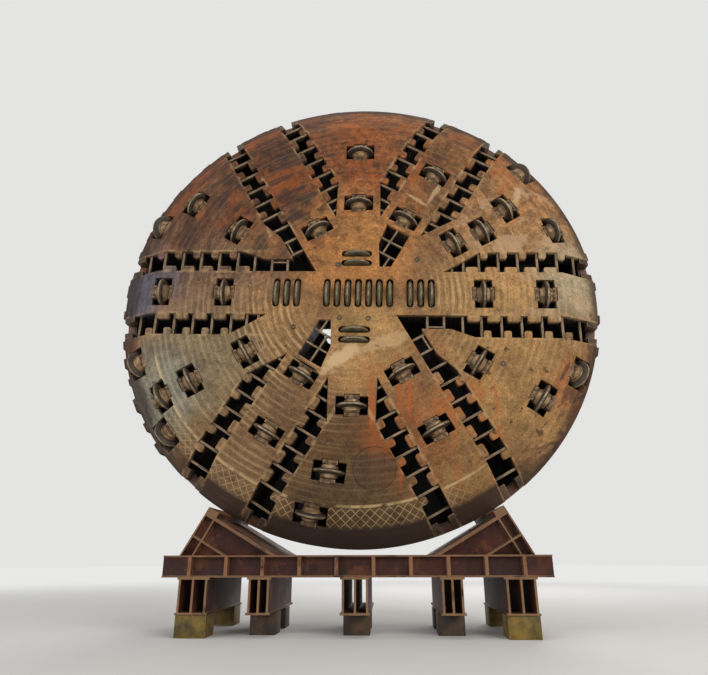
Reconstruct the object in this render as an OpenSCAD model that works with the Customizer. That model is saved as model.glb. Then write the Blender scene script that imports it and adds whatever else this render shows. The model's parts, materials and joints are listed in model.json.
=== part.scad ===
// Cutterhead of a tunnel boring machine, parked upright on a welded steel cradle.
// X is across the face, Y runs from the face (-Y) to the drive side (+Y), Z is up, in millimetres.
// The head's modules work on the head's own axes: x and y lie in the face, and z points forwards
// out of it. The module on_head sets them in the frame.

/* [Head] */
// Radius of the rim
head_r = 4000; // [3960:5:4040]
// Radial width of the gauge cone round the flat face
cone_w = 580; // [560:5:620]
// How far the gauge cone falls back from the face to the rim
cone_drop = 300; // [260:5:330]
// Depth of the wedge panels and of the centre block
panel_depth = 450; // [430:5:480]
// Depth of the box arms, from the face to the rear plate
arm_depth = 1000; // [960:5:1040]
// Thickness of the rear plate
rear_plate_t = 60; // [50:1:80]
// Distance from the axis to the flats of the opening through the rear plate
throat_flat = 720; // [700:5:760]
// Radial width of the rim hoop
hoop_w = 150; // [120:5:160]
// How far the head is turned in its cradle, counter-clockwise as seen from the front
head_turn = -2; // [-4:0.5:4]

/* [Arms and muck slots] */
// Half the width of a box arm
arm_half = 390; // [385:1:395]
// Width of a muck slot beside an arm
slot_w = 375; // [370:1:380]
// Distance along an arm at which its slots begin
slot_start = 1450; // [1440:1:1460]
// Distance along an arm at which its slots reach their full width
slot_full = 2070; // [2060:1:2074]
// Distance at which the two arms that run furthest inwards begin
long_arm_start = 1150; // [1140:1:1170]

/* [Disc cutters] */
// Radius of a cutter ring
ring_r = 241.5; // [236:0.5:244]
// Width of a cutter ring at its root
ring_w = 76; // [70:1:80]
// Width of a ring at its tip
tip_w = 28; // [24:1:34]
// How far below the surface the axis of a face cutter lies
cutter_sink = 76; // [70:1:90]
// How far below the surface the axis of the centre cutters lies
centre_sink = 122; // [120:1:126]
// Radius of the fixed shafts
shaft_r = 45; // [42:1:46]
// Radial running fit of a hub on its shaft
hub_fit = 0.05; // [0.03:0.01:0.1]
// Spacing of the rings in the centre row
ring_pitch = 174; // [172:1:178]
// Thickness of the slotted plate over the centre cutters
cover_t = 34; // [32:1:36]

/* [Drive flange] */
// Outer radius of the drive flange
flange_r = 1750; // [1730:5:1780]
// Inner radius of the drive flange
flange_bore_r = 1350; // [1330:5:1370]
// Thickness of the drive flange
flange_t = 190; // [170:5:200]
// Diameter of the bolt circle
bolt_pcd = 3100; // [3080:5:3120]
// Number of bolt holes
bolt_count = 36; // [24:1:40]
// Radius of a bolt hole
bolt_r = 30; // [26:1:33]
// Depth of a bolt hole
bolt_depth = 150; // [120:5:160]

/* [Cradle] */
// Depth of the cradle along the head's axis
cradle_depth = 2000; // [1960:10:2100]
// Length of a cross beam
cross_len = 5240; // [5200:10:5300]
// Height of a cross beam
cross_h = 280; // [260:5:300]
// Width of a cross beam's flanges
cross_w = 200; // [180:5:220]
// Height of the long beams under the cross beams
long_h = 460; // [440:5:480]
// Height of the packing blocks on the floor
block_h = 280; // [260:5:300]
// Angle from the bottom of the rim at which the saddles carry it
saddle_angle = 29.5; // [28.5:0.5:31]
// Thickness of the saddles' sloping plates
saddle_t = 40; // [30:1:50]

/* [Hidden] */

rim_fn = 360;
round_fn = 64;
step = 60;

face_r = head_r - cone_w;
cradle_top = block_h + long_h + cross_h;
rim_clear = 80;
axis_z = cradle_top + rim_clear + head_r;
face_y = -560;
seat_gap = 0.3;

STEEL = [0.55, 0.40, 0.27];
BRIGHT = [0.62, 0.58, 0.52];
DARK = [0.22, 0.19, 0.17];
RUST = [0.42, 0.20, 0.13];
YELLOW = [0.72, 0.56, 0.20];

// Muck slots
slot_far = arm_half + slot_w;
past_rim = head_r + 200;
lip_w = 137;
lip_t = slot_far - lip_w;
lip_apex = lip_t / tan(step / 2);
lip_end = 1560;
lip_full = 1935;
arm_meet = arm_half / tan(step / 2);

// Grid openings through the two open arms, as distances along and across the arm
GRID_PLAN = [[610, -95], [710, -262], [1385, -240], [1385, 212], [1000, 150]];

// Bars of the grid openings: from and to along the arm, from and to across it
GRID_BARS = [
    [870, 1395, -13, 13], [600, 870, -158, -132], [1112, 1138, -262, 240], [858, 884, -262, 170]
];
grid_sunk = 22;
grid_deep = 70;
grid_seam = -120;
seam_start = (arm_half - grid_seam * cos(step)) / sin(step);

// Pockets of the single cutters
pocket_half = 150;
pocket_tall = 255;
ear_half = 185;
ear_tall = 125;
block_half = 115;
block_inner = 112;
block_front = 68;
block_back = 150;
block_bevel = 22;
shaft_seat = 10;
hub_half = 104;
single_hub_r = 128;

// Single cutters: angle round the head, share of the way from span_in to the rim, outward tilt
span_in = 1400;
SINGLES = [
    [90, 0.129, 0], [90, 0.542, 0],
    [60, 0.092, 0], [60, 0.490, 0],
    [120, 0.004, 0],
    [30, 0.187, 0], [29, 0.394, 0], [32.5, 0.615, 0], [20.2, 0.825, 14],
    [0, 0.269, 0], [0, 0.656, 0],
    [329.2, 0.348, 0], [329.3, 0.767, 0],
    [300, 0.058, 0], [300, 0.458, 0],
    [270, 0.196, 0], [264, 0.592, 0], [261, 0.842, 14],
    [240, 0.092, 0], [241, 0.492, 0],
    [211, 0.250, 0], [210.8, 0.625, 0], [210.7, 0.825, 14],
    [180, 0.315, 0], [180, 0.723, 0],
    [150.3, 0.385, 0], [149.3, 0.767, 0],
    [340, 0.919, 38], [159, 0.923, 38], [40.5, 0.919, 38], [199, 0.923, 38], [219.2, 0.919, 38]
];
function seat_r(share) = span_in + share * (head_r - span_in);

// Cutters with several rings: angle of their axis, centre on the face, number of rings
GROUPS = [
    [0, [-1150, 0], 3],
    [0, [45 - 2.5 * ring_pitch, 0], 2],
    [0, [45, 0], 3],
    [0, [45 + 2.5 * ring_pitch, 0], 2],
    [0, [1075, 0], 3],
    [90, [0, 640], 2],
    [90, [0, -740], 2]
];

// Pockets of those cutters: angle, centre on the face, number of rings
GROUP_POCKETS = [
    [0, [-1150, 0], 3],
    [0, [45, 0], 7],
    [0, [1075, 0], 3],
    [90, [0, 640], 2],
    [90, [0, -740], 2]
];
web_t = 58;
web_clear = 7;
group_tall = 260;
group_back = 260;
group_floor = 50;
oval_w = 114;
centre_hub_r = 78;

// Slots: arm, side of the arm, and 1 where the slot has the narrow inner part
SLOTS = [
    [0, 1, 0], [0, -1, 1], [60, 1, 0], [60, -1, 0], [120, 1, 1], [120, -1, 0],
    [180, 1, 0], [180, -1, 1], [240, 1, 0], [240, -1, 0], [300, 1, 1], [300, -1, 0]
];
bar_first = 2050;
bar_from_rim = 350;
bar_last = head_r - bar_from_rim;
BAR_AT = [for (i = [0:5]) bar_first + i * (bar_last - bar_first) / 5];
NARROW_BAR_AT = [slot_start + 150, slot_start + 340];
LIP_BAR_AT = [slot_start - 270, slot_start, slot_start + 300];
bar_w = 36;
bar_sunk = 40;
bar_deep = 110;
lip_rail_at = 178;
lip_rail_w = 26;

// Scraper blocks: on the arm's side a wide one before each bar, on the panel's side a narrow one after it
arm_scraper_w = 200;
arm_scraper_out = 100;
panel_scraper_w = 115;
panel_scraper_out = 122;
scraper_clear = 8;
scraper_proud = 5;
scraper_deep = 170;
scraper_edge = 16;
scraper_corner = 24;
scraper_heel = 45;

// Gauge buckets at the outer ends of the slots
bucket_in = head_r - 240;
bucket_w = 95;
bucket_proud = 14;
bucket_r = head_r - 12;
bucket_deep = 150;

// Round cover on the lower panel
cover_at = [372, -2864];
cover_r = 318;
cover_proud = 3;
cover_groove = 9;
cover_groove_deep = 14;

// Surface of the face at a radius, and the axis point of a cutter below it
function surface_z(r) = r <= face_r ? 0 : -(r - face_r) * cone_drop / (head_r - face_r);
function axis_r(r, tilt) = r - cutter_sink * sin(tilt);
function axis_depth(r, tilt) = surface_z(r) - cutter_sink * cos(tilt);

// A point given along and across an arm, seen on the axes of the wedge beside it
function wedge_x(s, t) = s * cos(step / 2) + t * sin(step / 2);
function wedge_y(s, t) = s * sin(step / 2) - t * cos(step / 2);

module on_head() {
    translate([0, face_y, axis_z]) rotate([90, 0, 0]) rotate([0, 0, head_turn]) children();
}

module at_single(c) {
    r = seat_r(c[1]);
    rotate([0, 0, c[0]]) translate([axis_r(r, c[2]), 0, axis_depth(r, c[2])])
        rotate([0, c[2], 0]) children();
}

module at_group(g, sink) {
    translate([g[1][0], g[1][1], -sink]) rotate([0, 0, g[0]]) children();
}

// Outline of the head with its cone, turned about its axis
module head_form(depth) {
    rotate_extrude($fn = rim_fn)
        polygon([[0, -depth], [head_r, -depth], [head_r, -cone_drop], [face_r, 0], [0, 0]]);
}

module arm_plan(a, start) {
    rotate(a) translate([start, -arm_half]) square([past_rim - start, 2 * arm_half]);
}

// Wedge between two arms whose slots begin at the centre block
module necked_plan(a) {
    sx = wedge_x(slot_start, arm_half);
    sy = wedge_y(slot_start, arm_half);
    kx = wedge_x(slot_full, slot_far);
    ky = wedge_y(slot_full, slot_far);
    fy = ky + (past_rim - kx) * tan(step / 2);
    rotate(a) polygon([[sx, -sy], [kx, -ky], [past_rim, -fy], [past_rim, fy], [kx, ky], [sx, sy]]);
}

// Wedge that ends in a nose, with a narrow slot on each side of the nose
module nosed_plan(a) {
    ex = wedge_x(lip_end, lip_t);
    ey = wedge_y(lip_end, lip_t);
    kx = wedge_x(lip_full, slot_far);
    ky = wedge_y(lip_full, slot_far);
    fy = ky + (past_rim - kx) * tan(step / 2);
    nose = wedge_x(lip_apex, lip_t);
    rotate(a) polygon([
        [nose, 0], [ex, -ey], [kx, -ky], [past_rim, -fy], [past_rim, fy], [kx, ky], [ex, ey]
    ]);
}

// Twelve-sided centre, notched where the long arms and the nosed panels come in
module centre_plan() {
    lean = atan(arm_half / slot_start);
    corner = norm([slot_start, arm_half]) - seat_gap / cos(lean);
    difference() {
        polygon([for (a = [0:step:300], side = [-1, 1])
            corner * [cos(a + side * lean), sin(a + side * lean)]]);
        for (a = [120, 300]) arm_plan(a, long_arm_start);
        for (a = [150, 330]) rotate(a) polygon([
            [wedge_x(arm_meet, arm_half), 0],
            [past_rim, -(past_rim - wedge_x(arm_meet, arm_half)) * tan(step / 2)],
            [past_rim, (past_rim - wedge_x(arm_meet, arm_half)) * tan(step / 2)]
        ]);
        for (a = [60, 240]) rotate(a) polygon(GRID_PLAN);
        centre_seams();
    }
}

// Seams between the parts that the centre is welded up from: two along its middle row, and one
// through each grid opening
module centre_seams() {
    for (side = [-1, 1]) translate([-past_rim, side * arm_half - seat_gap / 2])
        square([2 * past_rim, seat_gap]);
    for (a = [60, 240]) rotate(a) translate([seam_start, grid_seam - seat_gap / 2])
        square([past_rim, seat_gap]);
}

// Cross-shaped pocket of a single cutter: the ring's opening and the ears that take the shaft
module single_pocket() {
    deep = arm_depth + 200;
    high = cone_drop;
    translate([-pocket_half, -pocket_tall, -deep]) cube([2 * pocket_half, 2 * pocket_tall, deep + high]);
    translate([-ear_half, -ear_tall, -deep]) cube([2 * ear_half, 2 * ear_tall, deep + high]);
}

// Pocket of a row of rings under a plate with one oval for each ring
module group_pocket(rings) {
    long = group_length(rings);
    deep = panel_depth - group_floor;
    translate([-long / 2, -group_tall, centre_sink - deep])
        cube([long, 2 * group_tall, deep - cover_t]);
    for (x = ring_places(rings)) translate([x, 0, 0])
        for (side = [-1, 1]) translate([0, side * (group_tall - oval_w / 2), 0])
            cylinder(r = oval_w / 2, h = 2 * centre_sink, $fn = round_fn);
    for (x = ring_places(rings)) translate([x - oval_w / 2, -group_tall + oval_w / 2, 0])
        cube([oval_w, 2 * group_tall - oval_w, 2 * centre_sink]);
}

function ring_places(rings) = [for (i = [0:rings - 1]) (i - (rings - 1) / 2) * ring_pitch];
function group_length(rings) = rings * ring_pitch + web_t;

module segment(depth) {
    intersection() {
        translate([0, 0, -depth - 10]) linear_extrude(depth + 20) children();
        head_form(depth);
    }
}

// Cuts the pockets of the single cutters that lie in the segment at this angle
module pocketed(a) {
    difference() {
        children();
        for (c = SINGLES) if (near(c[0], a)) at_single(c) single_pocket();
    }
}

// Box arm: its front part fills the outline, and its web runs back to the rear plate inside the hoop
module arm(a, start) {
    web_start = max(start, slot_start);
    web_end = sqrt(pow(head_r - hoop_w, 2) - pow(arm_half, 2)) - seat_gap;
    pocketed(a) union() {
        segment(panel_depth) arm_plan(a, start);
        rotate([0, 0, a]) translate([web_start, -arm_half, -arm_depth])
            cube([web_end - web_start, 2 * arm_half, arm_depth - panel_depth + 1]);
    }
}

// Whether an angle lies within half a segment of another
function near(b, a) = cos(b - a) > cos(step / 4);

module centre_block() color(STEEL) on_head() difference() {
    segment(panel_depth) centre_plan();
    for (g = GROUP_POCKETS) at_group(g, centre_sink) group_pocket(g[2]);
}

module level_arms() color(STEEL) on_head() for (a = [0, 180]) arm(a, slot_start);
module open_arms() color(STEEL) on_head() for (a = [60, 240]) arm(a, slot_start);
module long_arms() color(STEEL) on_head() for (a = [120, 300]) arm(a, long_arm_start);

// Groove round the cover, and the cover plate itself
module cover_cut() {
    translate([cover_at[0], cover_at[1], -cover_groove_deep])
        cylinder(r = cover_r + cover_groove, h = 2 * cover_groove_deep, $fn = round_fn * 2);
}
module cover_plate() {
    translate([cover_at[0], cover_at[1], -2 * cover_groove_deep])
        cylinder(r = cover_r, h = 2 * cover_groove_deep + cover_proud, $fn = round_fn * 2);
}

module upright_panels() color(STEEL) on_head() {
    difference() {
        for (a = [90, 270]) pocketed(a) segment(panel_depth) necked_plan(a);
        cover_cut();
    }
    cover_plate();
}
module joined_panels() color(STEEL) on_head()
    for (a = [30, 210]) pocketed(a) segment(panel_depth) necked_plan(a);
module nosed_panels() color(STEEL) on_head()
    for (a = [150, 330]) pocketed(a) segment(panel_depth) nosed_plan(a);

module rim_hoop() color(STEEL) on_head() translate([0, 0, -arm_depth])
    rotate_extrude($fn = rim_fn) translate([head_r - hoop_w, 0])
        square([hoop_w, arm_depth - panel_depth]);

rib_t = 50;
rib_count = 12;
rib_gap = 8;
rib_out = 3700;
rib_low = 60;
rib_slope = 300;
rib_short = 20;

// Rear plate in sectors, which meet under the ribs
module rear_plate() color(STEEL) on_head() translate([0, 0, -arm_depth - rear_plate_t])
    for (i = [0:rib_count - 1]) rotate([0, 0, i * 360 / rib_count]) intersection() {
        cylinder(r = head_r, h = rear_plate_t, $fn = rim_fn);
        linear_extrude(rear_plate_t) polygon([
            [throat_flat, -sector_half(throat_flat)], [past_rim, -sector_half(past_rim)],
            [past_rim, sector_half(past_rim)], [throat_flat, sector_half(throat_flat)]
        ]);
    }

function sector_half(x) = x * tan(180 / rib_count) - seat_gap / 2;

module rear_ribs() color(STEEL) on_head()
    for (i = [0:rib_count - 1]) rotate([0, 0, (i + 0.5) * 360 / rib_count])
        translate([0, rib_t / 2, -arm_depth - rear_plate_t]) rotate([90, 0, 0])
            linear_extrude(rib_t) polygon([
                [flange_r + rib_gap, 0], [rib_out, 0], [rib_out, -rib_low],
                [flange_r + rib_slope, rib_short - flange_t], [flange_r + rib_gap, rib_short - flange_t]
            ]);

module drive_flange() color(STEEL) on_head()
    translate([0, 0, -arm_depth - rear_plate_t - flange_t]) difference() {
        cylinder(r = flange_r, h = flange_t, $fn = rim_fn);
        translate([0, 0, -1]) cylinder(r = flange_bore_r, h = flange_t + 2, $fn = rim_fn);
        for (i = [0:bolt_count - 1]) rotate([0, 0, (i + 0.5) * 360 / bolt_count])
            translate([bolt_pcd / 2, 0, -1]) cylinder(r = bolt_r, h = bolt_depth + 1, $fn = 32);
    }

hub_chamfer = 18;
ring_root = 10;
flank_in = 36;
crown_in = 8;
crown_round = 3;

// Hub and rings of a cutter, turned about x
module cutter(rings, half, hub_r) {
    places = rings == 1 ? [0] : ring_places(rings);
    bore = shaft_r + hub_fit;
    crown = tip_w / 2 + crown_round;
    top = tip_w / 2 - crown_round;
    rotate([0, 90, 0]) {
        rotate_extrude($fn = round_fn) polygon([
            [bore, -half], [hub_r - hub_chamfer, -half], [hub_r, -half + hub_chamfer],
            [hub_r, half - hub_chamfer], [hub_r - hub_chamfer, half], [bore, half]
        ]);
        for (x = places) translate([0, 0, x]) rotate_extrude($fn = round_fn) polygon([
            [hub_r - ring_root, -ring_w / 2], [ring_r - flank_in, -ring_w / 2],
            [ring_r - crown_in, -crown], [ring_r, -top], [ring_r, top], [ring_r - crown_in, crown],
            [ring_r - flank_in, ring_w / 2], [hub_r - ring_root, ring_w / 2]
        ]);
    }
}

module disc_cutter(c) color(BRIGHT) on_head() at_single(c) cutter(1, hub_half, single_hub_r);

module centre_cutter(g) color(BRIGHT) on_head() at_group(g, centre_sink)
    cutter(g[2], g[2] * ring_pitch / 2 - web_t / 2 - web_clear, centre_hub_r);

// Fixed shaft of a single cutter with the blocks that hold its ends
module single_saddle() {
    long = ear_half - block_inner;
    rotate([0, 90, 0])
        cylinder(r = shaft_r, h = 2 * (block_inner + shaft_seat), center = true, $fn = round_fn);
    for (side = [-1, 1]) mirror([side < 0 ? 1 : 0, 0, 0])
        translate([block_inner, block_half, 0]) rotate([90, 0, 0]) linear_extrude(2 * block_half)
            polygon([
                [0, -block_back], [long, -block_back], [long, block_front - block_bevel],
                [long - block_bevel, block_front], [0, block_front]
            ]);
}

// Shaft of a row of rings, with a web across the pocket at each end and between the cutters
module group_saddle(p) {
    long = group_length(p[2]);
    rotate([0, 90, 0]) cylinder(r = shaft_r, h = long - shaft_seat, center = true, $fn = round_fn);
    breaks = p[2] == 7 ? [-3.5, -1.5, 1.5, 3.5] : [-p[2] / 2, p[2] / 2];
    for (b = breaks) translate([b * ring_pitch - web_t / 2, -group_tall, -group_back + centre_sink])
        cube([web_t, 2 * group_tall, group_back - cover_t]);
}

module cutter_saddles() color(DARK) on_head() {
    for (c = SINGLES) at_single(c) single_saddle();
    for (p = GROUP_POCKETS) at_group(p, centre_sink) group_saddle(p);
}

// Places a shape at a distance along an arm, on the given side, with y pointing across the slot
module beside_arm(s, slot) {
    rotate([0, 0, slot[0]]) mirror([0, slot[1] < 0 ? 1 : 0, 0]) translate([s, arm_half, 0]) children();
}

// Scraper block: its front edge is bevelled, and its heel is cut away behind
module scraper(w, out) {
    intersection() {
        translate([w / 2, 0, 0]) rotate([0, -90, 0]) linear_extrude(w) polygon([
            [-scraper_deep, 0], [scraper_proud, 0], [scraper_proud, out - scraper_edge],
            [scraper_proud - scraper_edge, out], [scraper_heel - scraper_deep, out],
            [-scraper_deep, out - scraper_heel]
        ]);
        translate([0, 0, -scraper_deep]) linear_extrude(scraper_deep + scraper_proud) polygon([
            [-w / 2, 0], [w / 2, 0], [w / 2, out - scraper_corner], [w / 2 - scraper_corner, out],
            [scraper_corner - w / 2, out], [-w / 2, out - scraper_corner]
        ]);
    }
}

// The blocks stand clear of the bars, and only those on the flat face are there
module slot_scrapers() color(DARK) on_head()
    for (slot = SLOTS, s = BAR_AT) if (s < face_r) {
        inner = s - bar_w / 2 - scraper_clear - arm_scraper_w / 2;
        outer = s + bar_w / 2 + scraper_clear + panel_scraper_w / 2;
        beside_arm(inner, slot) translate([0, seat_gap, surface_z(norm([inner, arm_half]))])
            scraper(arm_scraper_w, arm_scraper_out);
        beside_arm(outer, slot)
            translate([0, slot_w - seat_gap, surface_z(norm([outer, slot_far]))])
                mirror([0, 1, 0]) scraper(panel_scraper_w, panel_scraper_out);
    }

module gauge_buckets() color(DARK) on_head() intersection() {
    for (slot = SLOTS, across = [seat_gap, slot_w - bucket_w - seat_gap])
        beside_arm(bucket_in, slot) translate([0, across, -cone_drop - bucket_deep])
            cube([past_rim - bucket_in, bucket_w, 2 * cone_drop]);
    rotate_extrude($fn = rim_fn) polygon([
        [0, -cone_drop - bucket_deep], [bucket_r, -cone_drop - bucket_deep],
        [bucket_r, surface_z(bucket_r) + bucket_proud], [face_r, bucket_proud], [0, bucket_proud]
    ]);
}

// How wide a slot is at a distance along its arm
function slot_width(slot, s) = slot[2] == 1
    ? min(slot_w, slot_w - lip_w + max(0, s - lip_end) * lip_w / (lip_full - lip_end))
    : min(slot_w, (s - slot_start) * slot_w / (slot_full - slot_start));

module slot_bar(slot, s) {
    top = surface_z(norm([s, slot_far])) - bar_sunk;
    beside_arm(s, slot) translate([-bar_w / 2, 0, top - bar_deep])
        cube([bar_w, slot_width(slot, s - bar_w / 2) - seat_gap, bar_deep]);
}

// Rail along the narrow part of a slot, carried by its first two bars
module lip_rail(slot) {
    from = LIP_BAR_AT[0];
    to = LIP_BAR_AT[1];
    beside_arm(from, slot) translate([0, lip_rail_at, -bar_sunk - bar_deep])
        cube([to - from, lip_rail_w, bar_deep]);
}

module grizzly_bars() color(DARK) on_head()
    for (slot = SLOTS) {
        for (s = BAR_AT) slot_bar(slot, s);
        for (s = slot[2] == 1 ? LIP_BAR_AT : NARROW_BAR_AT) slot_bar(slot, s);
        if (slot[2] == 1) lip_rail(slot);
    }

// Crossed bars of the two grid openings, which end on the opening's edge
module grid_bars() color(DARK) on_head() for (a = [60, 240])
    rotate([0, 0, a]) translate([0, 0, -grid_sunk - grid_deep]) linear_extrude(grid_deep)
        intersection() {
            polygon(GRID_PLAN);
            union() for (b = GRID_BARS)
                translate([b[0], b[2]]) square([b[1] - b[0], b[3] - b[2]]);
        }

cross_flange_t = 22;
cross_web_t = 16;
stiffener_t = 46;
stiffener_pitch = 500;
end_plate_t = 20;
STIFFENERS = [for (i = [0:4]) (i + 0.5) * stiffener_pitch];

// Wide beam with stiffeners on both sides of its web, boxed in at both ends
module cross_beam() {
    last = STIFFENERS[len(STIFFENERS) - 1];
    for (z = [0, cross_h - cross_flange_t]) translate([-cross_len / 2, -cross_w / 2, z])
        cube([cross_len, cross_w, cross_flange_t]);
    translate([-cross_len / 2, -cross_web_t / 2, 0]) cube([cross_len, cross_web_t, cross_h]);
    for (x = STIFFENERS, side = [-1, 1]) translate([side * x - stiffener_t / 2, -cross_w / 2, 0])
        cube([stiffener_t, cross_w, cross_h]);
    for (end = [0, 1], side = [0, 1]) mirror([end, 0, 0]) mirror([0, side, 0])
        translate([last, cross_w / 2 - 2 * end_plate_t, 0])
            cube([cross_len / 2 - last, end_plate_t, cross_h]);
}

module cross_beams() color(RUST)
    for (y = [-1, 0, 1]) translate([0, y * (cradle_depth - cross_w) / 2, block_h + long_h]) cross_beam();

// Long beams: place across the cradle, width
outer_beam_w = 440;
inner_beam_w = 330;
middle_beam_w = 400;
beam_from_end = 440;
beam_pitch = 895;
outer_beam_x = cross_len / 2 - beam_from_end;
inner_beam_x = outer_beam_x - beam_pitch;
LONG_BEAMS = [
    [-outer_beam_x, outer_beam_w], [-inner_beam_x, inner_beam_w], [0, middle_beam_w],
    [inner_beam_x, inner_beam_w], [outer_beam_x, outer_beam_w]
];
long_flange_t = 26;
long_web_t = 30;
long_web_in = 40;

module long_beams() color(RUST) for (b = LONG_BEAMS)
    translate([b[0], 0, block_h]) rotate([90, 0, 0]) linear_extrude(cradle_depth, center = true) {
        for (z = [0, long_h - long_flange_t]) translate([-b[1] / 2, z]) square([b[1], long_flange_t]);
        for (x = [long_web_in - b[1] / 2, 0, b[1] / 2 - long_web_in]) translate([x - long_web_t / 2, 0])
            square([long_web_t, long_h]);
    }

outer_block = [420, 420];
outer_block_in = 230;
inner_block = [360, 400];
inner_block_y = 400;

// Packing block of a given plan size, standing on the floor
module packing(x, y, plan) {
    translate([x - plan[0] / 2, y - plan[1] / 2, 0]) cube([plan[0], plan[1], block_h]);
}

module outer_packing() color(YELLOW)
    for (x = [-outer_beam_x, outer_beam_x], side = [-1, 1])
        packing(x, side * (cradle_depth / 2 - outer_block_in), outer_block);

module inner_packing() color(DARK)
    for (x = [-inner_beam_x, 0, inner_beam_x], side = [-1, 1])
        packing(x, side * inner_block_y, inner_block);

// Saddles, drawn for the right-hand side on axes with x up the slope and y square to it, from the
// point where the rim rests: a pad, the sloping plate under it, two plates square to the slope, a
// brace that runs along it lower down, and upright webs between them
pad_t = 80;
pad_in = 90;
pad_out = 80;
post_t = 24;
brace_at = 420;
web_t_saddle = 26;
web_inset = 100;
web_places = [-1, 0, 1];

// Extrudes an upright section across the whole cradle or a part of it
module across_cradle(deep) {
    translate([0, deep / 2, 0]) rotate([90, 0, 0]) linear_extrude(deep) children();
}

// Places a section on the saddle's axes, cut off at the top of the cross beams
module on_slope() {
    intersection() {
        translate([0, axis_z]) rotate(saddle_angle) translate([0, -head_r - seat_gap]) children();
        translate([0, cradle_top]) square(head_r);
    }
}

module saddle_plates() {
    translate([-pad_in, -pad_t]) square([pad_in + pad_out, pad_t]);
    translate([-head_r, -pad_t - saddle_t]) square([head_r + pad_out, saddle_t]);
    translate([-pad_in, -head_r]) square([post_t, head_r - pad_t]);
    translate([pad_out - post_t, -head_r]) square([post_t, head_r]);
    translate([-head_r, -brace_at - post_t]) square([head_r + pad_out, post_t]);
}

module saddle_half() {
    across_cradle(cradle_depth) on_slope() saddle_plates();
    for (side = web_places)
        translate([0, side * (cradle_depth / 2 - web_inset - web_t_saddle / 2), 0])
            across_cradle(web_t_saddle) on_slope()
                translate([-head_r, -head_r]) square([head_r + pad_out, head_r - pad_t]);
}

module saddles() color(RUST) {
    saddle_half();
    mirror([1, 0, 0]) saddle_half();
}

centre_block();
level_arms();
open_arms();
long_arms();
upright_panels();
joined_panels();
nosed_panels();
rim_hoop();
rear_plate();
rear_ribs();
drive_flange();
cutter_saddles();
slot_scrapers();
gauge_buckets();
grizzly_bars();
grid_bars();
cross_beams();
long_beams();
saddles();
outer_packing();
inner_packing();
for (i = [1:len(SINGLES)])
    disc_cutter(SINGLES[i - 1]);
for (i = [1:len(GROUPS)])
    centre_cutter(GROUPS[i - 1]);
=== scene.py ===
"""Looks of the cutterhead: materials, small fittings, camera and light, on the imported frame."""

import json
import math

import bmesh
import bpy
from mathutils import Matrix, Vector


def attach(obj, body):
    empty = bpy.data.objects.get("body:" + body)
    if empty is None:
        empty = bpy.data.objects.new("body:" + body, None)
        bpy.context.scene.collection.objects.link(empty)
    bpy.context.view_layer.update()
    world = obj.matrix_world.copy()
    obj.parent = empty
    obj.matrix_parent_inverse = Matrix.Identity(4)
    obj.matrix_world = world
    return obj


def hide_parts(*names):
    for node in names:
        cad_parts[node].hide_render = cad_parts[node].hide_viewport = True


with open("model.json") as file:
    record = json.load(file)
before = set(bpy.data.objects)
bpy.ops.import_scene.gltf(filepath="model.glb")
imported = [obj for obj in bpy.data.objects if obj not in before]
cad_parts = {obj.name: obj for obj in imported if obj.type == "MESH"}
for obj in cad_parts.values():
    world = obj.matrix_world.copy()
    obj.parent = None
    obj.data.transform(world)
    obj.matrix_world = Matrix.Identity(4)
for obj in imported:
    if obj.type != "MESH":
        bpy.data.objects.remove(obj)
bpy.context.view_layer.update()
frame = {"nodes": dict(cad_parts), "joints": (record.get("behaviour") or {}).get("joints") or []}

ROOT = "head_on_cradle"

# Measures from the part's source, in metres
AXIS_Z = 5.1
HEAD_TURN = math.radians(-2)
FACE_Y = -0.56
HEAD_R = 4.0
FACE_R = 3.42
CONE_DROP = 0.3
ARM_HALF = 0.39
SLOT_FAR = 0.765
SLOT_START = 1.45
RING_PITCH = 0.174
HOOP_IN = 3.85
REAR_PLATE_MIDDLE = 0.47
ROUND_COVER = (0.372, -2.864)
CROSS_BEAM_FOOT = 0.74

# The cross beams' stiffeners: their spacing, and the heights between which they are paler
STIFFENER_PITCH = 0.5
PALER_FROM = 0.76
PALER_TO = 1.0

# The world's light on the object, where 1 is white
AMBIENT = 0.4
NO_LIGHT = (0.0, 0.0, 0.0, 1.0)
FLOOR_R = 70

# The floor begins to fade at the first distance, and has faded at the second
FADE_FROM = 5.0
FADE_TO = 22.0

# Angles from which an edge is shaded as a sharp one, and from which it is worn round
SHARP_FROM = math.radians(32)
WORN_FROM = math.radians(35)

# Corners closer than this are merged, and faces that differ by less than this angle are joined
DOUBLES = 0.0002
FLAT_UP_TO = math.radians(0.4)

# Takes the head's own axes (x right and y up in the face, z out of it) to the frame
ON_HEAD = (
    Matrix.Translation((0, FACE_Y, AXIS_Z))
    @ Matrix.Rotation(math.radians(90), 4, "X")
    @ Matrix.Rotation(HEAD_TURN, 4, "Z")
)


def tone(red, green, blue):
    """An sRGB colour, given out of 255, as the linear colour that the shaders take."""
    linear = []
    for value in (red, green, blue):
        v = value / 255
        linear.append(v / 12.92 if v <= 0.04045 else ((v + 0.055) / 1.055) ** 2.4)
    return (*linear, 1.0)


# Camera and light

LENS = 29.98
CAMERA_PLACE = (0.4521, -9.446, 0.9967)

# In degrees
CAMERA_TURN = 3.0835
CAMERA_TILT = 110.4095
CAMERA_ROLL = -0.138


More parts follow.
